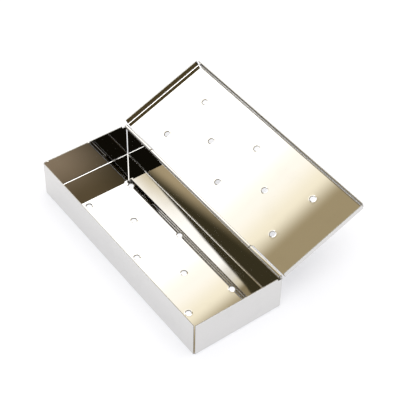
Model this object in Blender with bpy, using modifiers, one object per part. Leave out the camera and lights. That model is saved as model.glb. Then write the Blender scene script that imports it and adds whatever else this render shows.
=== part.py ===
"""A wood-chip smoker box, folded from thin stainless sheet.

The tray is one blank: a perforated floor with four walls folded up, open at the corner seams.
The lid is a second blank: a perforated plate with three flanges that fit over the tray's rim.
Both blanks are rolled round one wire pin, which makes a hinge along the tray's back edge.

Frame: +X along the hinge, +Y towards the hinge, +Z up, origin under the middle of the floor.
All lengths are in metres. The lid is modelled shut and then turned open about the pin.
"""

from math import copysign, pi, radians

import bmesh
import bpy
from mathutils import Matrix

# Sheet
SHEET = 0.0007              # thickness of both blanks
BEND = 0.0009               # inside radius of every fold
BEND_OUT = BEND + SHEET
FOLD_STEPS = 5              # facets in a quarter turn
QUARTER = pi / 2

# Tray, measured outside
LENGTH = 0.235
WIDTH = 0.0923
HEIGHT = 0.038
CORNER_REACH = 0.0004       # how far a wall reaches past its fold into the corners

# Rolled hinge
WIRE = 0.0009               # radius of the pin
BORE = 0.00115              # inside radius of a knuckle
ROLL = BORE + SHEET         # outside radius of a knuckle
ROLL_ANGLE = radians(285)
ROLL_STEPS = 19
MIDDLE_KNUCKLE = 0.148      # length of the lid's knuckle
END_PLAY = 0.0009           # gap between neighbouring knuckles
KNUCKLE_ROOM = 0.0018       # from the axis down to the back wall's middle stretch
LID_GAP = 0.00025           # between the shut lid and the rim
HINGE_Y = WIDTH / 2 - ROLL
HINGE_Z = HEIGHT + LID_GAP - BORE
PIN_LENGTH = 0.2344
PIN_BEVEL = 0.0002

# Notches in the end walls that let the pin through
NOTCH_FRONT = 0.0403        # where a notch starts, along Y
NOTCH_FLOOR = 0.0358        # how low it reaches
NOTCH_CORNER = 0.0008
NOTCH_SPAN = 0.0018         # along X, centred on the end wall
NOTCH_PAST = 0.006          # how far its cutter runs past the sheet

# Lid, measured from the hinge's axis with the lid shut
SIDE_CLEARANCE = 0.0004     # between a side flange and the end wall inside it
LID_HALF = LENGTH / 2 + SIDE_CLEARANCE + SHEET
LID_REACH = 0.0934          # to the outside of the front flange
FLANGE = 0.0065             # depth of a flange, outside
CUT_BACK = 0.0031           # the plate and its side flanges start this far from the axis
OPEN_ANGLE = radians(158)   # how far the lid stands open from shut

# Holes: rows of three, two and three, in five columns
HOLE = 0.0025               # radius
HOLE_SIDES = 24
COLUMN_PITCH = LENGTH / 6
FLOOR_ROW_PITCH = 0.0233
LID_ROW_PITCH = 0.0233
LID_MIDDLE_ROW = 0.0454     # from the axis to the middle row
CUTTER_HEIGHT = 0.006

NEAR = 1e-6                 # two coordinates this close are the same
X_AXIS, Y_AXIS = 0, 1


def clear_scene():
    """Remove what is in the scene."""
    for item in list(bpy.data.objects):
        bpy.data.objects.remove(item, do_unlink=True)


def new_collection(name):
    """Return a new collection that is linked to the scene."""
    collection = bpy.data.collections.new(name)
    bpy.context.scene.collection.children.link(collection)
    return collection


def steel(name, colour, roughness):
    """Return a bare metal material."""
    material = bpy.data.materials.new(name)
    material.use_nodes = True
    shader = material.node_tree.nodes["Principled BSDF"]
    shader.inputs["Base Color"].default_value = (*colour, 1.0)
    shader.inputs["Metallic"].default_value = 1.0
    shader.inputs["Roughness"].default_value = roughness
    return material


def new_object(name, bm, collection):
    """Turn a bmesh into an object in a collection."""
    mesh = bpy.data.meshes.new(name)
    bm.to_mesh(mesh)
    bm.free()
    piece = bpy.data.objects.new(name, mesh)
    collection.objects.link(piece)
    return piece


def flat_blank(half_x, y_front, y_back, z):
    """Return a bmesh of one rectangle that lies flat at height z."""
    bm = bmesh.new()
    bmesh.ops.create_grid(bm, x_segments=1, y_segments=1, size=0.5)
    bmesh.ops.scale(bm, vec=(2 * half_x, y_back - y_front, 1), verts=bm.verts)
    bmesh.ops.translate(bm, vec=(0, (y_front + y_back) / 2, z), verts=bm.verts)
    return bm


def score(bm, axis, place):
    """Divide a flat blank along a line across one axis."""
    point = [0.0, 0.0, 0.0]
    normal = [0.0, 0.0, 0.0]
    point[axis] = place
    normal[axis] = 1.0
    geometry = bm.verts[:] + bm.edges[:] + bm.faces[:]
    bmesh.ops.bisect_plane(bm, geom=geometry, dist=NEAR, plane_co=point, plane_no=normal)


def border(bm, axis, place):
    """Return the open edges that lie at one place along an axis."""
    found = []
    for edge in bm.edges:
        if edge.is_boundary and all(abs(v.co[axis] - place) < NEAR for v in edge.verts):
            found.append(edge)
    return found


def fold(bm, edges, centre, axis, angle=QUARTER, steps=FOLD_STEPS):
    """Bend a border about a line and return the border that it ends on."""
    verts = list({v for edge in edges for v in edge.verts})
    turned = bmesh.ops.spin(
        bm, geom=edges + verts, cent=centre, axis=axis, angle=angle, steps=steps
    )
    return [item for item in turned["geom_last"] if isinstance(item, bmesh.types.BMEdge)]


def draw_out(bm, edges, height):
    """Carry a border straight to a height and return the border that it ends on."""
    grown = bmesh.ops.extrude_edge_only(bm, edges=edges)["geom"]
    for item in grown:
        if isinstance(item, bmesh.types.BMVert):
            item.co.z = height
    return [item for item in grown if isinstance(item, bmesh.types.BMEdge) and item.is_boundary
            and all(abs(v.co.z - height) < NEAR for v in item.verts)]


def widen(bm, wall_axis, wall, side_axis, side, top):
    """Carry the upright edge of a wall outwards, as high as top, so that it comes near its neighbour."""
    edges = [
        edge for edge in border(bm, side_axis, side)
        if all(abs(v.co[wall_axis] - wall) < NEAR and v.co.z < top + NEAR for v in edge.verts)
    ]
    for item in bmesh.ops.extrude_edge_only(bm, edges=edges)["geom"]:
        if isinstance(item, bmesh.types.BMVert):
            item.co[side_axis] += copysign(CORNER_REACH, side)


def middle_x(edge):
    """Return where the middle of an edge lies along X."""
    return (edge.verts[0].co.x + edge.verts[1].co.x) / 2


def face_outwards(bm, z_sign):
    """Turn every face outwards, so that the large flat panel faces z_sign."""
    bmesh.ops.recalc_face_normals(bm, faces=bm.faces)
    panel = max(bm.faces, key=lambda face: face.calc_area())
    if panel.normal.z * z_sign < 0:
        bmesh.ops.reverse_faces(bm, faces=bm.faces)


def thicken(piece):
    """Give a surface the sheet's thickness on its inner side."""
    solid = piece.modifiers.new("sheet", "SOLIDIFY")
    solid.thickness = SHEET
    solid.offset = -1.0
    solid.use_even_offset = True


def cut(piece, cutter):
    """Cut one object out of another."""
    boolean = piece.modifiers.new(cutter.name, "BOOLEAN")
    boolean.operation = "DIFFERENCE"
    boolean.solver = "EXACT"
    boolean.object = cutter


def as_cutter(piece):
    """Show an object as a cutter and leave it out of the model."""
    piece.hide_render = True
    piece.display_type = "WIRE"
    return piece


def hole_cutter(name, row_places, z, collection):
    """Return a cutter of eight round punches, three in the outer rows and two in the middle one."""
    bm = bmesh.new()
    for index, y in enumerate(row_places):
        columns = (-1, 1) if index == 1 else (-2, 0, 2)
        for column in columns:
            place = Matrix.Translation((column * COLUMN_PITCH, y, z))
            bmesh.ops.create_cone(
                bm, cap_ends=True, segments=HOLE_SIDES, radius1=HOLE, radius2=HOLE,
                depth=CUTTER_HEIGHT, matrix=place,
            )
    return as_cutter(new_object(name, bm, collection))


def notch_cutter(side, collection):
    """Return the cutter of one end wall's hinge notch, with its lower corner rounded."""
    y_back = WIDTH / 2 + NOTCH_PAST
    z_top = HEIGHT + NOTCH_PAST
    bm = bmesh.new()
    bmesh.ops.create_cube(bm, size=1.0)
    bmesh.ops.scale(
        bm, vec=(NOTCH_SPAN, y_back - NOTCH_FRONT, z_top - NOTCH_FLOOR), verts=bm.verts
    )
    centre = (
        side * (LENGTH - SHEET) / 2,
        (NOTCH_FRONT + y_back) / 2,
        (NOTCH_FLOOR + z_top) / 2,
    )
    bmesh.ops.translate(bm, vec=centre, verts=bm.verts)
    corner = [
        edge for edge in bm.edges
        if all(abs(v.co.y - NOTCH_FRONT) < NEAR and abs(v.co.z - NOTCH_FLOOR) < NEAR
               for v in edge.verts)
    ]
    bmesh.ops.bevel(
        bm, geom=corner, offset=NOTCH_CORNER, affect="EDGES", segments=4, profile=0.5, material=-1
    )
    name = "notch_right" if side > 0 else "notch_left"
    return as_cutter(new_object(name, bm, collection))


def make_tray(collection, cutters):
    """Fold the tray: floor, end walls, front wall, and a back wall that ends in two knuckles."""
    flat_x = LENGTH / 2 - BEND_OUT
    flat_y = WIDTH / 2 - BEND_OUT
    knuckle_start = MIDDLE_KNUCKLE / 2 + END_PLAY
    bm = flat_blank(flat_x, -flat_y, flat_y, 0)
    for place in (-knuckle_start, knuckle_start):
        score(bm, X_AXIS, place)
    ends = {side: border(bm, X_AXIS, side * flat_x) for side in (-1, 1)}
    front = border(bm, Y_AXIS, -flat_y)
    back = border(bm, Y_AXIS, flat_y)
    for side, end in ends.items():
        end = fold(bm, end, (side * flat_x, 0, BEND_OUT), (0, -side, 0))
        draw_out(bm, end, HEIGHT)
    front = fold(bm, front, (0, -flat_y, BEND_OUT), (-1, 0, 0))
    draw_out(bm, front, HEIGHT)
    back = fold(bm, back, (0, flat_y, BEND_OUT), (1, 0, 0))
    back = draw_out(bm, back, HINGE_Z - KNUCKLE_ROOM)
    ears = [edge for edge in back if abs(middle_x(edge)) > knuckle_start]
    ears = draw_out(bm, ears, HINGE_Z)
    fold(bm, ears, (0, HINGE_Y, HINGE_Z), (1, 0, 0), ROLL_ANGLE, ROLL_STEPS)
    for side_x in (-1, 1):
        for side_y in (-1, 1):
            widen(bm, X_AXIS, side_x * LENGTH / 2, Y_AXIS, side_y * flat_y, HEIGHT)
        widen(bm, Y_AXIS, -WIDTH / 2, X_AXIS, side_x * flat_x, HEIGHT)
        widen(bm, Y_AXIS, WIDTH / 2, X_AXIS, side_x * flat_x, HINGE_Z - KNUCKLE_ROOM)
    face_outwards(bm, -1)
    tray = new_object("tray", bm, collection)
    thicken(tray)
    rows = (-FLOOR_ROW_PITCH, 0, FLOOR_ROW_PITCH)
    cut(tray, hole_cutter("floor_punches", rows, 0, cutters))
    for side in (-1, 1):
        cut(tray, notch_cutter(side, cutters))
    return tray


def make_lid(collection, cutters):
    """Fold the lid about the hinge's axis: plate, three flanges, and its one long knuckle."""
    flat_x = LID_HALF - BEND_OUT
    flat_front = BEND_OUT - LID_REACH
    knuckle_end = MIDDLE_KNUCKLE / 2
    fold_z = ROLL - BEND_OUT
    flange_z = ROLL - FLANGE
    bm = flat_blank(flat_x, flat_front, 0, ROLL)
    score(bm, Y_AXIS, -CUT_BACK)
    for place in (-knuckle_end, knuckle_end):
        score(bm, X_AXIS, place)
    clear = [
        face for face in bm.faces
        if face.calc_center_median().y > -CUT_BACK and abs(face.calc_center_median().x) > knuckle_end
    ]
    bmesh.ops.delete(bm, geom=clear, context="FACES")
    ends = {side: border(bm, X_AXIS, side * flat_x) for side in (-1, 1)}
    front = border(bm, Y_AXIS, flat_front)
    hinge_side = border(bm, Y_AXIS, 0)
    for side, end in ends.items():
        end = fold(bm, end, (side * flat_x, 0, fold_z), (0, side, 0))
        draw_out(bm, end, flange_z)
    front = fold(bm, front, (0, flat_front, fold_z), (1, 0, 0))
    draw_out(bm, front, flange_z)
    fold(bm, hinge_side, (0, 0, 0), (-1, 0, 0), ROLL_ANGLE, ROLL_STEPS)
    face_outwards(bm, 1)
    lid = new_object("lid", bm, collection)
    thicken(lid)
    rows = [-LID_MIDDLE_ROW + step * LID_ROW_PITCH for step in (-1, 0, 1)]
    punches = hole_cutter("lid_punches", rows, ROLL, cutters)
    punches.parent = lid
    cut(lid, punches)
    lid.location = (0, HINGE_Y, HINGE_Z)
    lid.rotation_euler = (-OPEN_ANGLE, 0, 0)
    return lid


def make_pin(collection):
    """Make the straight wire that the knuckles are rolled round."""
    bpy.ops.mesh.primitive_cylinder_add(
        vertices=24, radius=WIRE, depth=PIN_LENGTH,
        location=(0, HINGE_Y, HINGE_Z), rotation=(0, QUARTER, 0),
    )
    pin = bpy.context.object
    pin.name = "hinge_pin"
    pin.data.name = "hinge_pin"
    for owner in list(pin.users_collection):
        owner.objects.unlink(pin)
    collection.objects.link(pin)
    rounding = pin.modifiers.new("rounded_ends", "BEVEL")
    rounding.width = PIN_BEVEL
    rounding.segments = 2
    rounding.limit_method = "ANGLE"
    rounding.angle_limit = radians(60)
    pin.data.shade_smooth()
    pin.data.set_sharp_from_angle(angle=radians(40))
    return pin


def main():
    """Build the smoker box."""
    clear_scene()
    box = new_collection("smoker_box")
    cutters = new_collection("cutters")
    tray = make_tray(box, cutters)
    lid = make_lid(box, cutters)
    pin = make_pin(box)
    tray.data.materials.append(steel("tray_steel", (0.76, 0.75, 0.72), 0.18))
    lid.data.materials.append(steel("lid_steel", (0.78, 0.77, 0.73), 0.16))
    pin.data.materials.append(steel("pin_steel", (0.62, 0.61, 0.58), 0.3))


main()
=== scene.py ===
"""A wood-chip smoker box folded from bright stainless sheet, standing open on a pale table.

Each half of the box starts as a flat blank. The blank is scored, punched, folded and rolled the way a
press brake does it, and then the sheet gets its thickness, its cut edges and its rolled finish.

Frame: +X along the hinge, +Y towards the hinge, +Z up. All lengths are in metres.
"""

from __future__ import annotations

import logging
from collections.abc import Callable
from dataclasses import dataclass
from enum import Enum
from math import atan2, copysign, cos, hypot, pi, radians, sin

import bmesh
import bpy
from mathutils import Matrix, Vector


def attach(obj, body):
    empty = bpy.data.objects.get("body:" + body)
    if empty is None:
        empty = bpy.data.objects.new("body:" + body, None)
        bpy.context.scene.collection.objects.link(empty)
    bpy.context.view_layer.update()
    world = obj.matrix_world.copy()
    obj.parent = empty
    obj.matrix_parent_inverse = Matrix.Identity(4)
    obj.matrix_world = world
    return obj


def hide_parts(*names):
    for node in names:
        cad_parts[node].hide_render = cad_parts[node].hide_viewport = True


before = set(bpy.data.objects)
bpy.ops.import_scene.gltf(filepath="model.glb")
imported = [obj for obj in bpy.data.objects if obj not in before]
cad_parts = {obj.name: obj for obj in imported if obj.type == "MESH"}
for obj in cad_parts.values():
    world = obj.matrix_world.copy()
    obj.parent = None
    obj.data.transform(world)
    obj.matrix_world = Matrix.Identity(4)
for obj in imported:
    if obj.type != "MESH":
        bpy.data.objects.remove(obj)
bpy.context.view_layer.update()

log = logging.getLogger("smoker_box")

Colour = tuple[float, float, float]
Point = tuple[float, float, float]

QUARTER = pi / 2
NEAR = 1e-6


class Axis(Enum):
    """An axis of the frame, with its place in a coordinate."""

    X = 0
    Y = 1
    Z = 2


class Side(Enum):
    """An end of the box, with its sign along the hinge."""

    LEFT = -1
    RIGHT = 1


# ---------------------------------------------------------------------------------------------
# Shader maths
# ---------------------------------------------------------------------------------------------


class Socket:
    """A number in a shader graph that Python's operators carry through Math nodes."""

    def __init__(self, graph: Graph, output: bpy.types.NodeSocket) -> None:
        """Keep the graph and the node output that the number comes from."""
        self.graph = graph
        self.output = output

    def maths(self, operation: str, *others: Socket | float, first: bool = True) -> Socket:
        """Add one Math node.

        Args:
            operation: The Math node's operation.
            others: The other values it reads.
            first: False puts this number after the others.

        Returns:
            The node's result.
        """
        values = (self, *others) if first else (*others, self)
        names = ("Value", "Value_001", "Value_002")
        node = self.graph.add("ShaderNodeMath", {"operation": operation}, dict(zip(names, values)))
        return Socket(self.graph, node.outputs[0])

    def __add__(self, other: Socket | float) -> Socket:
        """Return the sum."""
        return self.maths("ADD", other)

    __radd__ = __add__

    def __sub__(self, other: Socket | float) -> Socket:
        """Return the difference."""
        return self.maths("SUBTRACT", other)

    def __rsub__(self, other: Socket | float) -> Socket:
        """Return the difference, with this number taken away."""
        return self.maths("SUBTRACT", other, first=False)

    def __mul__(self, other: Socket | float) -> Socket:
        """Return the product."""
        return self.maths("MULTIPLY", other)

    __rmul__ = __mul__

    def __truediv__(self, other: Socket | float) -> Socket:
        """Return the quotient."""
        return self.maths("DIVIDE", other)

    def __abs__(self) -> Socket:
        """Return the size without its sign."""
        return self.maths("ABSOLUTE")

    def ease(self, start: float, end: float) -> Socket:
        """Return a smooth rise from 0 at start to 1 at end; it falls where end is the lower one.

        Args:
            start: Where the result is 0.
            end: Where it is 1.

        Returns:
            The eased number.
        """
        low, high = sorted((start, end))
        rise = (0.0, 1.0) if start < end else (1.0, 0.0)
        node = self.graph.add(
            "ShaderNodeMapRange",
            {"interpolation_type": "SMOOTHSTEP"},
            {"Value": self, "From Min": low, "From Max": high, "To Min": rise[0], "To Max": rise[1]},
        )
        return Socket(self.graph, node.outputs["Result"])


class Graph:
    """A node tree, and the few ways this file adds nodes to it."""

    def __init__(self, tree: bpy.types.NodeTree) -> None:
        """Empty the tree and keep it."""
        self.tree = tree
        tree.nodes.clear()

    def add(self, kind: str, settings: dict | None = None, sockets: dict | None = None) -> bpy.types.Node:
        """Add a node.

        Args:
            kind: The node's type.
            settings: The node's own settings, set first.
            sockets: A value, or the output that feeds it, for each input's identifier.

        Returns:
            The node.
        """
        node = self.tree.nodes.new(kind)
        for name, value in (settings or {}).items():
            setattr(node, name, value)
        by_name = {socket.identifier: socket for socket in node.inputs}
        for name, value in (sockets or {}).items():
            source = value.output if isinstance(value, Socket) else value
            if isinstance(source, bpy.types.NodeSocket):
                self.tree.links.new(source, by_name[name])
            elif by_name[name].type == "RGBA":
                by_name[name].default_value = (*source, 1.0)
            else:
                by_name[name].default_value = source
        return node

    def combine(self, x: Socket | float, y: Socket | float, z: Socket | float) -> bpy.types.NodeSocket:
        """Return one vector of three numbers."""
        return self.add("ShaderNodeCombineXYZ", {}, {"X": x, "Y": y, "Z": z}).outputs["Vector"]

    def parts(self, vector: bpy.types.NodeSocket) -> tuple[Socket, Socket, Socket]:
        """Return the three numbers of a vector."""
        outputs = self.add("ShaderNodeSeparateXYZ", {}, {"Vector": vector}).outputs
        return tuple(Socket(self, outputs[name]) for name in "XYZ")

    def noise(
        self, vector: bpy.types.NodeSocket, detail: float = 2.0, roughness: float = 0.5
    ) -> Socket:
        """Return a noise from 0 to 1 whose cells are one unit of the vector wide.

        Args:
            vector: Where the noise is read.
            detail: How many finer layers it has.
            roughness: How strong they are.

        Returns:
            The noise.
        """
        node = self.add(
            "ShaderNodeTexNoise",
            {"noise_dimensions": "3D"},
            {"Vector": vector, "Scale": 1.0, "Detail": detail, "Roughness": roughness},
        )
        return Socket(self, node.outputs["Fac"])

    def mix(
        self,
        factor: Socket | float,
        first: bpy.types.NodeSocket | Colour,
        second: bpy.types.NodeSocket | Colour,
    ) -> bpy.types.NodeSocket:
        """Mix two colours.

        Args:
            factor: How much of the second colour shows.
            first: The colour at 0.
            second: The colour at 1.

        Returns:
            The mixed colour.
        """
        node = self.add(
            "ShaderNodeMix",
            {"data_type": "RGBA", "blend_type": "MIX", "clamp_result": False, "clamp_factor": True},
            {"Factor_Float": factor, "A_Color": first, "B_Color": second},
        )
        return next(out for out in node.outputs if out.identifier == "Result_Color")

    def bump(
        self, height: Socket, depth: float, below: bpy.types.NodeSocket | None = None
    ) -> bpy.types.NodeSocket:
        """Turn a height into a normal.

        Args:
            height: The height, where 1 stands for the full depth.
            depth: The full depth.
            below: The normal that this one adds to.

        Returns:
            The normal.
        """
        sockets = {"Height": height, "Distance": depth, "Strength": 1.0}
        if below is not None:
            sockets["Normal"] = below
        return self.add("ShaderNodeBump", {}, sockets).outputs["Normal"]

    def surface(self, sockets: dict) -> None:
        """End a material's graph in one Principled shader with these sockets."""
        shader = self.add("ShaderNodeBsdfPrincipled", {}, sockets)
        self.add("ShaderNodeOutputMaterial", {}, {"Surface": shader.outputs["BSDF"]})


def new_material(name: str) -> tuple[bpy.types.Material, Graph]:
    """Return an empty material and its graph.

    Args:
        name: The material's name.

    Returns:
        The material and its graph.
    """
    material = bpy.data.materials.new(name)
    material.use_nodes = True
    return material, Graph(material.node_tree)


def shaded(colour: Colour, share: float) -> Colour:
    """Return a share of a colour."""
    return tuple(share * part for part in colour)


# ---------------------------------------------------------------------------------------------
# Finishes
# ---------------------------------------------------------------------------------------------


@dataclass(frozen=True)
class RolledSteel:
    """The mirror-bright mill finish of the sheet, with its rolling grain along the length."""

    name: str
    tint: Colour = (0.700, 0.692, 0.680)
    polish: float = 0.010           # roughness where the sheet is clean
    scuffed: float = 0.07           # roughness inside a hairline
    smeared: float = 0.006          # what handling adds to the roughness
    hairline_length: float = 0.030
    hairline_width: float = 0.00022
    ripple: float = 0.035           # length of the slow waves in the sheet
    ripple_depth: float = 0.0000016
    grain_depth: float = 0.000000006
    smear_size: tuple[float, float] = (0.018, 0.026)
    smear_shade: float = 0.94       # the tint under a smear
    scratch_shade: float = 0.86     # the tint inside a hairline
    pressed_dull: float = 0.02      # what a press mark adds to the roughness
    uneven: float = 0.006           # how much the broad streaks change the roughness
    seed: float = 0.0

    def material(self, folds: tuple[tuple[Axis, float], ...]) -> bpy.types.Material:
        """Make the material.

        Args:
            folds: Where the sheet is folded, as an axis of the flat blank and a distance from its middle.

        Returns:
            The material.
        """
        material, graph = new_material(self.name)
        chart = graph.add("ShaderNodeUVMap", {"uv_map": CHART})
        along, across, _ = graph.parts(chart.outputs["UV"])
        hairlines = self._streaks(graph, along, across, self.hairline_width, self.seed)
        scratched = hairlines.ease(0.68, 0.76)
        broad = self._streaks(graph, along, across, 8 * self.hairline_width, self.seed + 7.0)
        smear_along, smear_across = self.smear_size
        spread = graph.combine(along / smear_along, across / smear_across, self.seed + 3.0)
        smears = graph.noise(spread, 3.0, 0.6)
        handled = smears.ease(0.50, 0.72)
        pressed = self._press_marks(graph, along, across, folds)
        roughness = self.polish + scratched * (self.scuffed - self.polish)
        roughness = roughness + handled * self.smeared + pressed * self.pressed_dull
        roughness = roughness + abs(broad - 0.5) * self.uneven
        colour = graph.mix(handled * 0.35, self.tint, shaded(self.tint, self.smear_shade))
        colour = graph.mix(scratched * 0.25, colour, shaded(self.tint, self.scratch_shade))
        waves = graph.noise(
            graph.combine(along / self.ripple, across / (0.7 * self.ripple), self.seed + 11.0), 1.0
        )
        slow = graph.bump(waves, self.ripple_depth)
        normal = graph.bump(hairlines + 0.6 * broad, self.grain_depth, slow)
        graph.surface(
            {"Base Color": colour, "Metallic": 1.0, "Roughness": roughness, "Normal": normal}
        )
        return material

    def _streaks(self, graph: Graph, along: Socket, across: Socket, width: float, seed: float) -> Socket:
        """Return a noise that is drawn out along the sheet."""
        vector = graph.combine(along / self.hairline_length, across / width, seed)
        return graph.noise(vector, 2.0, 0.6)

    @staticmethod
    def _press_marks(
        graph: Graph, along: Socket, across: Socket, folds: tuple[tuple[Axis, float], ...]
    ) -> Socket:
        """Return 1 on the two faint lines that the press leaves beside each fold.

        Args:
            graph: The material's graph; it is not used.
            along: The place along the blank.
            across: The place across it.
            folds: Where the sheet is folded.

        Returns:
            The marks, 0 where there are none.
        """
        marks = []
        for axis, place in folds:
            away = abs(abs(along if axis is Axis.X else across) - place)
            marks.append(away.ease(0.0, 0.0006) * away.ease(0.0018, 0.0010))
        return sum(marks[1:], marks[0])


@dataclass(frozen=True)
class ShearedEdge:
    """The cut edge of the sheet: a burnished band and a duller torn one."""

    name: str
    tint: Colour = (0.40, 0.39, 0.36)
    torn_shade: float = 0.84        # the tint where the sheet tore
    roughness: float = 0.24
    unevenness: float = 0.22        # how far the roughness varies
    tear: float = 0.0004            # size of one tear
    tear_depth: float = 0.00001

    def material(self) -> bpy.types.Material:
        """Make the material.

        Returns:
            The material.
        """
        material, graph = new_material(self.name)
        place = graph.add("ShaderNodeTexCoord").outputs["Object"]
        x, y, z = graph.parts(place)
        tears = graph.noise(graph.combine(x / self.tear, y / self.tear, z / self.tear), 3.0, 0.6)
        rough = self.roughness + (tears - 0.5) * self.unevenness
        colour = graph.mix(tears.ease(0.4, 0.7), self.tint, shaded(self.tint, self.torn_shade))
        graph.surface(
            {
                "Base Color": colour,
                "Metallic": 1.0,
                "Roughness": rough,
                "Normal": graph.bump(tears, self.tear_depth),
            }
        )
        return material


@dataclass(frozen=True)
class DrawnWire:
    """The duller steel of the drawn wire, with fine die lines along it."""

    name: str
    tint: Colour = (0.52, 0.51, 0.49)
    spot_shade: float = 0.8         # the tint inside a spot
    roughness: float = 0.24
    unevenness: float = 0.16        # how far the roughness varies between die lines
    line_length: float = 0.012
    line_width: float = 0.00012
    line_depth: float = 0.000004
    spot_size: tuple[float, float] = (0.004, 0.002)

    def material(self) -> bpy.types.Material:
        """Make the material.

        Returns:
            The material.
        """
        material, graph = new_material(self.name)
        place = graph.add("ShaderNodeTexCoord").outputs["Object"]
        x, y, z = graph.parts(place)
        drawn = graph.combine(x / self.line_length, y / self.line_width, z / self.line_width)
        lines = graph.noise(drawn, 2.0, 0.5)
        long, wide = self.spot_size
        spots = graph.noise(graph.combine(x / long, y / wide, z / wide), 2.0, 0.6)
        colour = graph.mix(spots.ease(0.5, 0.75), self.tint, shaded(self.tint, self.spot_shade))
        graph.surface(
            {
                "Base Color": colour,
                "Metallic": 1.0,
                "Roughness": self.roughness + (lines - 0.5) * self.unevenness,
                "Normal": graph.bump(lines, self.line_depth),
            }
        )
        return material


# ---------------------------------------------------------------------------------------------
# Sheet work
# ---------------------------------------------------------------------------------------------

CHART = "blank"                     # the map that holds each point's place on the flat blank


@dataclass(frozen=True)
class SheetStock:
    """The sheet that both halves are cut from, and how finely its shapes are divided."""

    thickness: float = 0.0007
    fold_radius: float = 0.0009     # inside a fold
    fold_steps: int = 14            # in a quarter turn
    edge_radius: float = 0.00007    # what deburring takes off a cut edge
    edge_steps: int = 2

    @property
    def outer_radius(self) -> float:
        """The radius outside a fold."""
        return self.fold_radius + self.thickness


@dataclass(frozen=True)
class Hole:
    """A round punched hole whose rim is drawn inwards by the punch."""

    radius: float = 0.0025
    lip: float = 0.0012             # how far the drawn rim reaches past the hole
    rise: float = 0.00026           # how far the rim is drawn in
    sides: int = 48
    rings: int = 6
    cell: float = 0.0052            # half the square that is cleared for it in the blank


@dataclass(frozen=True)
class Knuckles:
    """The rolled hinge that joins the two halves."""

    bore: float = 0.00115
    roll_angle: float = radians(285)
    roll_steps: int = 44
    middle: float = 0.148           # length of the lid's knuckle
    end_play: float = 0.0009
    axis_y: float = 0.0443
    axis_z: float = 0.0371

    def outside(self, stock: SheetStock) -> float:
        """Return the outside radius of a knuckle."""
        return self.bore + stock.thickness


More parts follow.
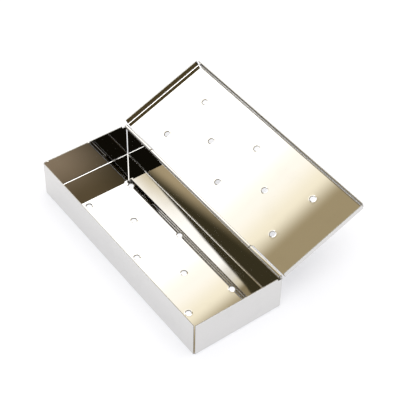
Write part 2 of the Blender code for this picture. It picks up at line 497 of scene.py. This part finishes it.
class Blank:
    """A flat piece of sheet that is scored, punched, folded and rolled into shape."""

    def __init__(self, stock: SheetStock, half_x: float, y_front: float, y_back: float, z: float) -> None:
        """Cut a flat rectangle of sheet.

        Args:
            stock: The sheet.
            half_x: Half its length.
            y_front: Where it starts along Y.
            y_back: Where it ends along Y.
            z: The height that it lies at.
        """
        self.stock = stock
        self.punched: set[bmesh.types.BMFace] = set()
        self.bm = bmesh.new()
        bmesh.ops.create_grid(self.bm, x_segments=1, y_segments=1, size=0.5)
        bmesh.ops.scale(self.bm, vec=(2 * half_x, y_back - y_front, 1), verts=self.bm.verts)
        bmesh.ops.translate(self.bm, vec=(0, (y_front + y_back) / 2, z), verts=self.bm.verts)

    def score(self, axis: Axis, *places: float) -> None:
        """Divide the flat blank along lines across one axis, passing by what is punched already.

        Args:
            axis: The axis that the lines cross.
            places: Where they cross it.
        """
        for place in places:
            point = Vector((0, 0, 0))
            normal = Vector((0, 0, 0))
            point[axis.value] = place
            normal[axis.value] = 1.0
            faces = [face for face in self.bm.faces if face not in self.punched]
            edges = list({edge for face in faces for edge in face.edges})
            verts = list({vert for edge in edges for vert in edge.verts})
            bmesh.ops.bisect_plane(
                self.bm, geom=verts + edges + faces, dist=NEAR, plane_co=point, plane_no=normal
            )

    def clear(self, unwanted: Callable[[Vector], bool]) -> None:
        """Cut away the faces whose middle the test picks out."""
        faces = [face for face in self.bm.faces if unwanted(face.calc_center_median())]
        bmesh.ops.delete(self.bm, geom=faces, context="FACES")

    def punch(self, hole: Hole, x: float, y: float, inwards: float) -> None:
        """Punch one hole in a cell that has been scored for it.

        Args:
            hole: The hole's sizes.
            x: Its middle along X.
            y: Its middle along Y.
            inwards: The sign along Z that points to the inside of the box.
        """
        cell = min(self.bm.faces, key=lambda face: (face.calc_center_median().xy - Vector((x, y))).length)
        z = cell.calc_center_median().z
        bmesh.ops.bisect_edges(self.bm, edges=cell.edges[:], cuts=hole.sides // 4 - 1)
        for step in range(hole.rings + 1):
            cell = bmesh.ops.extrude_discrete_faces(self.bm, faces=[cell])["faces"][0]
            share = step / hole.rings
            radius = hole.radius + hole.lip * (1 - share)
            for vert in cell.verts:
                across = Vector((vert.co.x - x, vert.co.y - y))
                turn = atan2(across.y, across.x)
                if step == 0:
                    middle = round(turn / QUARTER) * QUARTER
                    slide = across.y * cos(middle) - across.x * sin(middle)
                    turn = middle + QUARTER / 2 * slide / hole.cell
                height = z + inwards * hole.rise * share * share
                vert.co = (x + radius * cos(turn), y + radius * sin(turn), height)
        rim = set(cell.verts)
        bmesh.ops.delete(self.bm, geom=[cell], context="FACES_ONLY")
        reached = rim
        for _ in range(hole.rings + 1):
            faces = {face for vert in reached for face in vert.link_faces} - self.punched
            self.punched |= faces
            reached = {vert for face in faces for vert in face.verts} - rim

    def border(self, axis: Axis, place: float) -> list[bmesh.types.BMEdge]:
        """Return the open edges that lie at one place along an axis.

        Args:
            axis: The axis.
            place: The place along it.

        Returns:
            The edges.
        """
        return [
            edge for edge in self.bm.edges
            if edge.is_boundary and all(abs(v.co[axis.value] - place) < NEAR for v in edge.verts)
        ]

    def fold(
        self,
        edges: list[bmesh.types.BMEdge],
        centre: Point,
        axis: Point,
        angle: float = QUARTER,
        steps: int | None = None,
    ) -> list[bmesh.types.BMEdge]:
        """Bend a border about a line.

        Args:
            edges: The border.
            centre: A point on the line.
            axis: The line's direction.
            angle: How far to bend.
            steps: How many facets the bend has.

        Returns:
            The border that the bend ends on.
        """
        verts = list({v for edge in edges for v in edge.verts})
        turned = bmesh.ops.spin(
            self.bm, geom=edges + verts, cent=centre, axis=axis, angle=angle,
            steps=steps or self.stock.fold_steps,
        )
        return [item for item in turned["geom_last"] if isinstance(item, bmesh.types.BMEdge)]

    def draw_out(self, edges: list[bmesh.types.BMEdge], height: float) -> list[bmesh.types.BMEdge]:
        """Carry a border straight to a height and return the border that it ends on.

        Args:
            edges: The border.
            height: The height along Z.

        Returns:
            The border that the wall ends on.
        """
        grown = bmesh.ops.extrude_edge_only(self.bm, edges=edges)["geom"]
        for item in grown:
            if isinstance(item, bmesh.types.BMVert):
                item.co.z = height
        return [
            item for item in grown
            if isinstance(item, bmesh.types.BMEdge) and item.is_boundary
            and all(abs(v.co.z - height) < NEAR for v in item.verts)
        ]

    def widen(self, wall_axis: Axis, wall: float, side: float, top: float, reach: float) -> None:
        """Carry the upright edge of a wall outwards, so that it comes near the neighbouring wall.

        Args:
            wall_axis: The axis that the wall stands across.
            wall: The wall's place along it.
            side: The edge's place along the other level axis.
            top: How high the edge is carried outwards.
            reach: How far it is carried.
        """
        side_axis = Axis.Y if wall_axis is Axis.X else Axis.X
        edges = [
            edge for edge in self.border(side_axis, side)
            if all(abs(v.co[wall_axis.value] - wall) < NEAR and v.co.z < top + NEAR for v in edge.verts)
        ]
        for item in bmesh.ops.extrude_edge_only(self.bm, edges=edges)["geom"]:
            if isinstance(item, bmesh.types.BMVert):
                item.co[side_axis.value] += copysign(reach, side)

    def face_outwards(self, z_sign: float) -> None:
        """Turn every face outwards, so that the flat panel faces z_sign.

        Args:
            z_sign: The sign along Z of the panel's outer side.
        """
        bmesh.ops.recalc_face_normals(self.bm, faces=self.bm.faces)
        panel = max(self.bm.faces, key=lambda face: face.calc_area())
        if panel.normal.z * z_sign < 0:
            bmesh.ops.reverse_faces(self.bm, faces=self.bm.faces)

    def chart(self, unfolded: Callable[[Vector], tuple[float, float]]) -> None:
        """Write each point's place on the flat blank to a map.

        Args:
            unfolded: Gives a point's place on the blank from its place on the folded sheet.
        """
        layer = self.bm.loops.layers.uv.new(CHART)
        for face in self.bm.faces:
            for loop in face.loops:
                loop[layer].uv = unfolded(loop.vert.co)

    def piece(self, name: str, faces: bpy.types.Material, edges: bpy.types.Material) -> bpy.types.Object:
        """Give the sheet its thickness and its cut edges.

        Args:
            name: The piece's name.
            faces: The finish of the sheet's faces.
            edges: The finish of its cut edges.

        Returns:
            The finished object, still without its cut-outs.
        """
        mesh = bpy.data.meshes.new(name)
        self.bm.to_mesh(mesh)
        self.bm.free()
        mesh.shade_smooth()
        mesh.materials.append(faces)
        mesh.materials.append(edges)
        piece = bpy.data.objects.new(name, mesh)
        bpy.context.scene.collection.objects.link(piece)
        solid = piece.modifiers.new("sheet", "SOLIDIFY")
        solid.thickness = self.stock.thickness
        solid.offset = -1.0
        solid.use_even_offset = True
        solid.material_offset_rim = 1
        return piece


def deburr(piece: bpy.types.Object, stock: SheetStock) -> None:
    """Round a piece's cut edges, and shade its flat panels flat and its bends smooth.

    Args:
        piece: The piece.
        stock: The sheet that it is made from.
    """
    rounding = piece.modifiers.new("deburred", "BEVEL")
    rounding.width = stock.edge_radius
    rounding.segments = stock.edge_steps
    rounding.limit_method = "ANGLE"
    rounding.angle_limit = radians(50)
    rounding.profile = 0.5
    rounding.material = -1
    rounding.use_clamp_overlap = False
    weighted = piece.modifiers.new("flat_panels", "WEIGHTED_NORMAL")
    weighted.mode = "FACE_AREA"
    weighted.weight = 100
    weighted.keep_sharp = False


def round_fold(across: float, down: float, flat: float, radius: float) -> float:
    """Return how far along the flat blank a point of a folded flap lies.

    Args:
        across: The point's distance from the middle, across the fold.
        down: Its distance from the outer face of the panel, along the flap.
        flat: Where the panel's flat part ends.
        radius: The radius outside the fold.

    Returns:
        The distance from the middle of the blank.
    """
    if across <= flat + NEAR:
        return across
    if down < radius:
        return flat + radius * atan2(across - flat, radius - down)
    return flat + radius * QUARTER + down - radius


# ---------------------------------------------------------------------------------------------
# The box
# ---------------------------------------------------------------------------------------------


@dataclass
class HolePattern:
    """Eight holes in rows of three, two and three."""

    hole: Hole
    column_pitch: float
    rows: tuple[float, float, float]

    def places(self) -> list[tuple[float, float]]:
        """Return the middle of every hole.

        Returns:
            Their places on the blank.
        """
        found = []
        for index, y in enumerate(self.rows):
            columns = (-1, 1) if index == 1 else (-2, 0, 2)
            found += [(column * self.column_pitch, y) for column in columns]
        return found

    def score_lines(self) -> dict[Axis, list[float]]:
        """Return the lines that mark out a square cell round every hole.

        Returns:
            The places of the lines across each axis.
        """
        cell = self.hole.cell
        columns = [column * self.column_pitch for column in range(-2, 3)]
        return {
            Axis.X: [column + side * cell for column in columns for side in (-1, 1)],
            Axis.Y: [row + side * cell for row in self.rows for side in (-1, 1)],
        }


@dataclass
class Tray:
    """The lower half: a perforated floor and four walls, with a knuckle at each end of the back one."""

    stock: SheetStock
    knuckles: Knuckles
    length: float = 0.235
    width: float = 0.0923
    height: float = 0.038
    corner_reach: float = 0.0004    # how far a wall reaches past its fold into the corners
    knuckle_room: float = 0.0018    # from the hinge's axis down to the back wall's middle stretch
    row_pitch: float = 0.0233
    notch_front: float = 0.0403     # where a notch in an end wall starts, along Y
    notch_floor: float = 0.0358     # how low it reaches
    notch_corner: float = 0.0008
    notch_span: float = 0.0018      # along X
    cutter_past: float = 0.006      # how far the notch's cutter runs past the sheet

    def build(self) -> bpy.types.Object:
        """Fold, thicken and dress the tray.

        Returns:
            The finished tray.
        """
        radius = self.stock.outer_radius
        flat_x = self.length / 2 - radius
        flat_y = self.width / 2 - radius
        pattern = HolePattern(Hole(), self.length / 6, (-self.row_pitch, 0.0, self.row_pitch))
        blank = Blank(self.stock, flat_x, -flat_y, flat_y, 0.0)
        knuckle_start = self.knuckles.middle / 2 + self.knuckles.end_play
        blank.score(Axis.X, *pattern.score_lines()[Axis.X])
        blank.score(Axis.Y, *pattern.score_lines()[Axis.Y])
        for x, y in pattern.places():
            blank.punch(pattern.hole, x, y, 1.0)
        blank.score(Axis.X, -knuckle_start, knuckle_start)
        self._fold_walls(blank, flat_x, flat_y, knuckle_start)
        blank.face_outwards(-1)
        blank.chart(lambda co: self._unfolded(co, flat_x, flat_y))
        folds = ((Axis.X, flat_x + radius * QUARTER / 2), (Axis.Y, flat_y + radius * QUARTER / 2))
        finish = RolledSteel("tray_rolled_steel", seed=1.0).material(folds)
        tray = blank.piece("folded_tray", finish, ShearedEdge("tray_sheared_edge").material())
        for side in Side:
            self._cut_notch(tray, side)
        deburr(tray, self.stock)
        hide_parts("tray")
        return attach(tray, "tray")

    def _fold_walls(self, blank: Blank, flat_x: float, flat_y: float, knuckle_start: float) -> None:
        """Fold up the four walls and roll the two knuckles.

        Args:
            blank: The punched blank.
            flat_x: Where the floor's flat part ends along X.
            flat_y: Where it ends along Y.
            knuckle_start: Where a knuckle starts along X.
        """
        radius = self.stock.outer_radius
        hinge = self.knuckles
        low_top = hinge.axis_z - self.knuckle_room
        ends = {side: blank.border(Axis.X, side.value * flat_x) for side in Side}
        front = blank.border(Axis.Y, -flat_y)
        back = blank.border(Axis.Y, flat_y)
        for side, end in ends.items():
            end = blank.fold(end, (side.value * flat_x, 0, radius), (0, -side.value, 0))
            blank.draw_out(end, self.height)
        front = blank.fold(front, (0, -flat_y, radius), (-1, 0, 0))
        blank.draw_out(front, self.height)
        back = blank.fold(back, (0, flat_y, radius), (1, 0, 0))
        back = blank.draw_out(back, low_top)
        ears = [
            edge for edge in back
            if abs(edge.verts[0].co.x + edge.verts[1].co.x) / 2 > knuckle_start
        ]
        ears = blank.draw_out(ears, hinge.axis_z)
        blank.fold(
            ears, (0, hinge.axis_y, hinge.axis_z), (1, 0, 0), hinge.roll_angle, hinge.roll_steps
        )
        for side in Side:
            x = side.value * flat_x
            for y in (-flat_y, flat_y):
                blank.widen(Axis.X, side.value * self.length / 2, y, self.height, self.corner_reach)
            blank.widen(Axis.Y, -self.width / 2, x, self.height, self.corner_reach)
            blank.widen(Axis.Y, self.width / 2, x, low_top, self.corner_reach)

    def _unfolded(self, co: Vector, flat_x: float, flat_y: float) -> tuple[float, float]:
        """Return a point's place on the flat blank.

        Args:
            co: The point on the folded tray.
            flat_x: Where the floor's flat part ends along X.
            flat_y: Where it ends along Y.

        Returns:
            Its place along and across the blank.
        """
        radius = self.stock.outer_radius
        hinge = self.knuckles
        on_end = abs(co.x) - flat_x > abs(co.y) - flat_y
        along = round_fold(abs(co.x), co.z, flat_x, radius) if on_end else abs(co.x)
        if co.z > hinge.axis_z + NEAR or (co.y > flat_y and hypot(co.y - hinge.axis_y, co.z - hinge.axis_z)
                                          < hinge.outside(self.stock) - NEAR):
            turn = atan2(co.z - hinge.axis_z, co.y - hinge.axis_y) % (2 * pi)
            rolled = turn * hinge.outside(self.stock) if co.y > 0 and abs(co.x) < flat_x + NEAR else 0.0
        else:
            rolled = 0.0
        rise = min(co.z, hinge.axis_z) if rolled else co.z
        across = rolled + (abs(co.y) if on_end else round_fold(abs(co.y), rise, flat_y, radius))
        return (along if co.x > 0 else -along, across if co.y > 0 else -across)

    def _cut_notch(self, tray: bpy.types.Object, side: Side) -> None:
        """Cut the notch in one end wall that lets the hinge wire through.

        Args:
            tray: The tray.
            side: The end that is cut.
        """
        y_back = self.width / 2 + self.cutter_past
        z_top = self.height + self.cutter_past
        bm = bmesh.new()
        bmesh.ops.create_cube(bm, size=1.0)
        bmesh.ops.scale(
            bm, vec=(self.notch_span, y_back - self.notch_front, z_top - self.notch_floor), verts=bm.verts
        )
        centre = (
            side.value * (self.length - self.stock.thickness) / 2,
            (self.notch_front + y_back) / 2,
            (self.notch_floor + z_top) / 2,
        )
        bmesh.ops.translate(bm, vec=centre, verts=bm.verts)
        corner = [
            edge for edge in bm.edges
            if all(abs(v.co.y - self.notch_front) < NEAR and abs(v.co.z - self.notch_floor) < NEAR
                   for v in edge.verts)
        ]
        bmesh.ops.bevel(
            bm, geom=corner, offset=self.notch_corner, affect="EDGES", segments=6, profile=0.5, material=-1
        )
        apply_cut(tray, bm)


def apply_cut(piece: bpy.types.Object, cutter: bmesh.types.BMesh) -> None:
    """Cut a closed shape out of a piece, its modifiers applied, and leave the cut walls as cut edges.

    Args:
        piece: The piece that is cut.
        cutter: The closed shape, which is freed.
    """
    mesh = bpy.data.meshes.new("cutter")
    cutter.to_mesh(mesh)
    cutter.free()
    for material in piece.data.materials:
        mesh.materials.append(material)
    for face in mesh.polygons:
        face.material_index = 1
    tool = bpy.data.objects.new("cutter", mesh)
    bpy.context.scene.collection.objects.link(tool)
    boolean = piece.modifiers.new("cut", "BOOLEAN")
    boolean.operation = "DIFFERENCE"
    boolean.solver = "EXACT"
    boolean.object = tool
    depsgraph = bpy.context.evaluated_depsgraph_get()
    finished = bpy.data.meshes.new_from_object(piece.evaluated_get(depsgraph))
    piece.modifiers.clear()
    old = piece.data
    name = old.name
    piece.data = finished
    bpy.data.meshes.remove(old)
    finished.name = name
    bpy.data.objects.remove(tool)
    bpy.data.meshes.remove(mesh)


@dataclass
class Lid:
    """The upper half: a perforated plate with three flanges and the long middle knuckle."""

    stock: SheetStock
    knuckles: Knuckles
    half: float = 0.1186            # half its length, outside
    reach: float = 0.0934           # from the axis to the outside of the front flange
    flange: float = 0.0065          # depth of a flange, outside
    cut_back: float = 0.0031        # the plate and its side flanges start this far from the axis
    open_angle: float = radians(158)
    row_pitch: float = 0.0233
    middle_row: float = 0.0454      # from the axis to the middle row
    column_pitch: float = 0.235 / 6

    def build(self) -> bpy.types.Object:
        """Fold the lid shut about the hinge's axis, then turn it open and dress it.

        Returns:
            The finished lid.
        """
        radius = self.stock.outer_radius
        top = self.knuckles.outside(self.stock)
        flat_x = self.half - radius
        flat_front = radius - self.reach
        rows = tuple(-self.middle_row + step * self.row_pitch for step in (-1, 0, 1))
        pattern = HolePattern(Hole(), self.column_pitch, rows)
        blank = Blank(self.stock, flat_x, flat_front, 0.0, top)
        knuckle_end = self.knuckles.middle / 2
        blank.score(Axis.X, *pattern.score_lines()[Axis.X])
        blank.score(Axis.Y, *pattern.score_lines()[Axis.Y], -self.cut_back)
        for x, y in pattern.places():
            blank.punch(pattern.hole, x, y, -1.0)
        blank.score(Axis.X, -knuckle_end, knuckle_end)
        blank.clear(lambda middle: middle.y > -self.cut_back and abs(middle.x) > knuckle_end)
        self._fold_flanges(blank, flat_x, flat_front, top)
        blank.face_outwards(1)
        blank.chart(lambda co: self._unfolded(co, flat_x, flat_front, top))
        opened = Matrix.Translation((0, self.knuckles.axis_y, self.knuckles.axis_z)) @ Matrix.Rotation(
            -self.open_angle, 4, "X"
        )
        bmesh.ops.transform(blank.bm, matrix=opened, verts=blank.bm.verts)
        folds = ((Axis.X, flat_x + radius * QUARTER / 2), (Axis.Y, -flat_front + radius * QUARTER / 2))
        finish = RolledSteel("lid_rolled_steel", seed=5.0).material(folds)
        lid = blank.piece("folded_lid", finish, ShearedEdge("lid_sheared_edge").material())
        deburr(lid, self.stock)
        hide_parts("lid")
        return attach(lid, "lid")

    def _fold_flanges(self, blank: Blank, flat_x: float, flat_front: float, top: float) -> None:
        """Fold down the three flanges and roll the knuckle.

        Args:
            blank: The punched blank.
            flat_x: Where the plate's flat part ends along X.
            flat_front: Where it ends at the front.
            top: The height of the plate's outer face.
        """
        radius = self.stock.outer_radius
        fold_z = top - radius
        ends = {side: blank.border(Axis.X, side.value * flat_x) for side in Side}
        front = blank.border(Axis.Y, flat_front)
        hinge_side = blank.border(Axis.Y, 0.0)
        for side, end in ends.items():
            end = blank.fold(end, (side.value * flat_x, 0, fold_z), (0, side.value, 0))
            blank.draw_out(end, top - self.flange)
        front = blank.fold(front, (0, flat_front, fold_z), (1, 0, 0))
        blank.draw_out(front, top - self.flange)
        blank.fold(
            hinge_side, (0, 0, 0), (-1, 0, 0), self.knuckles.roll_angle, self.knuckles.roll_steps
        )

    def _unfolded(self, co: Vector, flat_x: float, flat_front: float, top: float) -> tuple[float, float]:
        """Return a point's place on the flat blank.

        Args:
            co: The point on the folded lid, shut.
            flat_x: Where the plate's flat part ends along X.
            flat_front: Where it ends at the front.
            top: The height of the plate's outer face.

        Returns:
            Its place along and across the blank.
        """
        radius = self.stock.outer_radius
        along = round_fold(abs(co.x), top - co.z, flat_x, radius)
        if co.y > NEAR or hypot(co.y, co.z) < top + NEAR:
            across = top * (atan2(co.y, co.z) % (2 * pi))
        else:
            across = -round_fold(-co.y, top - co.z, -flat_front, radius)
        return (along if co.x > 0 else -along, across)


@dataclass
class HingeWire:
    """The straight wire that all three knuckles are rolled round."""

    knuckles: Knuckles
    radius: float = 0.0009
    length: float = 0.2344
    sides: int = 32
    dome: float = 0.00022           # how far the filed ends are rounded

    def build(self) -> bpy.types.Object:
        """Draw the wire along the hinge's axis and file its ends.

        Returns:
            The finished wire.
        """
        bm = bmesh.new()
        place = Matrix.Translation((-self.length / 2, self.knuckles.axis_y, self.knuckles.axis_z))
        turned = place @ Matrix.Rotation(QUARTER, 4, "Y")
        bmesh.ops.create_circle(bm, cap_ends=True, segments=self.sides, radius=self.radius, matrix=turned)
        grown = bmesh.ops.extrude_face_region(bm, geom=bm.faces[:])["geom"]
        moved = [item for item in grown if isinstance(item, bmesh.types.BMVert)]
        bmesh.ops.translate(bm, vec=(self.length, 0, 0), verts=moved)
        rims = [
            edge for edge in bm.edges
            if abs(edge.verts[0].co.x - edge.verts[1].co.x) < NEAR
        ]
        bmesh.ops.bevel(
            bm, geom=rims, offset=self.dome, affect="EDGES", segments=4, profile=0.5, material=-1
        )
        bmesh.ops.recalc_face_normals(bm, faces=bm.faces)
        mesh = bpy.data.meshes.new("hinge_wire")
        bm.to_mesh(mesh)
        bm.free()
        mesh.shade_smooth()
        mesh.set_sharp_from_angle(angle=radians(40))
        mesh.materials.append(DrawnWire("drawn_wire").material())
        wire = bpy.data.objects.new("hinge_wire", mesh)
        bpy.context.scene.collection.objects.link(wire)
        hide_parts("hinge_pin")
        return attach(wire, "tray")


# ---------------------------------------------------------------------------------------------
# The studio
# ---------------------------------------------------------------------------------------------


@dataclass(frozen=True)
class Room:
    """What the steel mirrors: a side panel and an overhead panel among the walls of a dim warm room.

    It is written on a level ceiling one unit above the box, where u runs along X and v along Y. Its
    regions were set for the one camera below, so it is more than an even soft light.
    """

    lowest: float = 0.05            # lower directions are written as if they were this high
    # the side panel, from beside its inner edge to its outer end
    beside_panel: Colour = (0.485, 0.390, 0.225)
    panel_rim: Colour = (1.30, 1.19, 0.92)
    panel_pale: Colour = (1.46, 1.40, 1.26)
    panel_white: Colour = (2.10, 2.08, 2.02)
    past_panel: Colour = (0.60, 0.50, 0.32)
    panel_dim: Colour = (1.30, 1.16, 0.86)
    panel_inner: float = -0.56      # where its inner edge crosses v = 0
    # what lies in front of the side panel
    warm_wall: Colour = (0.74, 0.59, 0.355)
    warm_wall_end: Colour = (0.22, 0.175, 0.085)
    low_wall: Colour = (0.04, 0.03, 0.012)
    low_wall_end: Colour = (0.35, 0.30, 0.22)
    khaki_wall: Colour = (0.34, 0.29, 0.18)
    dark_strip: Colour = (0.070, 0.058, 0.028)
    # the overhead panel, away from the camera and on its side
    over_far: Colour = (1.60, 1.60, 1.60)
    over_near: Colour = (5.00, 5.00, 4.95)
    # the camera's side of the room
    camera_dark: Colour = (0.012, 0.010, 0.006)
    umber_wall: Colour = (0.13, 0.095, 0.040)
    brown_wall: Colour = (0.19, 0.140, 0.075)
    brown_wall_end: Colour = (0.46, 0.355, 0.245)
    hinge_dark: Colour = (0.050, 0.042, 0.022)
    horizon: Colour = (0.88, 0.89, 0.93)

    def build(self) -> None:
        """Make the world."""
        world = bpy.data.worlds.new("room")
        bpy.context.scene.world = world
        world.use_nodes = True
        graph = Graph(world.node_tree)
        sky = graph.add("ShaderNodeTexCoord").outputs["Generated"]
        x, y, z = graph.parts(sky)
        height = z.maths("MAXIMUM", self.lowest)
        u = x / height
        v = y / height
        # the side panel's front edge: positive where the panel is
        edge = v - 0.058 * u + 0.52
        room = self._side_panel(graph, u, v, edge)
        room = graph.mix(edge.ease(0.0015, -0.0015), room, self._front_wall(graph, u, v))
        over = abs(u).ease(0.50, 0.44) * abs(v).ease(0.75, 0.68)
        room = graph.mix(over, room, graph.mix(u.ease(-0.2, 0.2), self.over_far, self.over_near))
        room = self._camera_side(graph, u, v, room)
        room = graph.mix(z.ease(0.36, 0.20), room, self.horizon)
        background = graph.add("ShaderNodeBackground", {}, {"Color": room, "Strength": 1.0})
        graph.add("ShaderNodeOutputWorld", {}, {"Surface": background.outputs["Background"]})

    def _side_panel(self, graph: Graph, u: Socket, v: Socket, edge: Socket) -> bpy.types.NodeSocket:
        """Return the side panel, which brightens slowly from its slanting inner edge.

        Args:
            graph: The world's graph.
            u: The place on the ceiling along X.
            v: The place along Y.
            edge: The distance behind the panel's front edge.

        Returns:
            The panel's colour.
        """
        near = v.ease(-0.35, -0.50)
        inner = (u - self.panel_inner + 0.18 * abs(v) - 0.01 * v - 0.007 * near) * (1.0 + 1.5 * near)
        panel = graph.mix(inner.ease(0.014, -0.014), self.beside_panel, self.panel_rim)
        panel = graph.mix(inner.ease(-0.010, -0.045), panel, self.panel_pale)
        panel = graph.mix(inner.ease(-0.045, -0.110), panel, self.panel_white)
        panel = graph.mix(u.ease(-1.00, -1.15), panel, self.past_panel)
        dim = edge.ease(0.030, 0.0) * u.ease(-0.76, -0.86) * v.ease(-0.2, -0.4)
        return graph.mix(dim, panel, self.panel_dim)

    def _front_wall(self, graph: Graph, u: Socket, v: Socket) -> bpy.types.NodeSocket:
        """Return the warm wall in front of the side panel, with the dark strip beside the edge.

        Args:
            graph: The world's graph.
            u: The place on the ceiling along X.
            v: The place along Y.

        Returns:
            The wall's colour.
        """
        wall = graph.mix(u.ease(-0.84, -0.67), self.warm_wall, self.warm_wall_end)
        beyond = graph.mix(u.ease(-0.92, -0.72), self.low_wall, self.low_wall_end)
        wall = graph.mix(v.ease(-0.63, -0.68), wall, beyond)
        low = v.ease(-0.90, -1.05) * v.ease(-3.20, -2.60) * abs(u + 1.45).ease(1.05, 0.90)
        wall = graph.mix(low, wall, self.khaki_wall)
        strip = (v + 0.111 * u + 0.673).ease(-0.014, 0.006)
        return graph.mix(strip, wall, self.dark_strip)

    def _camera_side(
        self, graph: Graph, u: Socket, v: Socket, room: bpy.types.NodeSocket
    ) -> bpy.types.NodeSocket:
        """Add the dark behind the camera and the brown wall on the hinge side.

        Args:
            graph: The world's graph.
            u: The place on the ceiling along X.
            v: The place along Y.
            room: The colour of the rest of the room.

        Returns:
            The whole room's colour.
        """
        side = u.ease(0.50, 0.60)
        room = graph.mix(side, room, self.camera_dark)
        room = graph.mix(side * v.ease(-0.36, -0.26), room, self.umber_wall)
        brown = graph.mix(u.ease(0.87, 0.955), self.brown_wall, self.brown_wall_end)
        room = graph.mix(side * v.ease(0.10, 0.40), room, brown)
        return graph.mix(side * v.ease(0.49, 0.58), room, self.hinge_dark)


@dataclass
class Studio:
    """The pale table, the room round it and the camera."""

    room: Room = Room()
    table_radius: float = 6.0
    table_glow: float = 0.58
    table_glow_tint: Colour = (1.0, 1.01, 1.06)
    table_shade: Colour = (0.36, 0.36, 0.362)
    camera_place: Point = (0.60041, -0.40739, 0.79086)
    camera_forward: Point = (-0.55428, 0.42691, -0.71451)
    camera_up: Point = (-0.58202, 0.41486, 0.69938)
    lens: float = 103.37
    sensor: float = 36.0

    def build(self) -> None:
        """Make the table, the room and the camera."""
        self._table()
        self.room.build()
        self._camera()
        bpy.context.scene.view_settings.view_transform = "Standard"

    def _table(self) -> None:
        """Lay the pale table that the box stands on."""
        bm = bmesh.new()
        bmesh.ops.create_circle(bm, cap_ends=True, segments=96, radius=self.table_radius)
        mesh = bpy.data.meshes.new("table")
        bm.to_mesh(mesh)
        bm.free()
        table = bpy.data.objects.new("table", mesh)
        bpy.context.scene.collection.objects.link(table)
        material, graph = new_material("pale_table")
        graph.surface(
            {
                "Base Color": self.table_shade,
                "Roughness": 0.9,
                "Specular IOR Level": 0.0,
                "Emission Color": self.table_glow_tint,
                "Emission Strength": self.table_glow,
            }
        )
        mesh.materials.append(material)

    def _camera(self) -> None:
        """Set the camera where the box is seen from above its front right corner."""
        data = bpy.data.cameras.new("camera")
        data.lens = self.lens
        data.sensor_width = self.sensor
        data.clip_start = 0.01
        data.clip_end = 50.0
        camera = bpy.data.objects.new("camera", data)
        bpy.context.scene.collection.objects.link(camera)
        forward = Vector(self.camera_forward).normalized()
        right = forward.cross(Vector(self.camera_up)).normalized()
        up = right.cross(forward)
        turn = Matrix((right, up, -forward)).transposed().to_4x4()
        camera.matrix_world = Matrix.Translation(self.camera_place) @ turn
        bpy.context.scene.camera = camera


def main() -> None:
    """Build the box and the studio."""
    logging.basicConfig(level=logging.INFO, format="%(name)s: %(message)s")
    stock = SheetStock()
    knuckles = Knuckles()
    for part in (Tray(stock, knuckles), Lid(stock, knuckles), HingeWire(knuckles)):
        piece = part.build()
    Studio().build()
    log.info("studio ready")


if __name__ == "__main__":
    main()
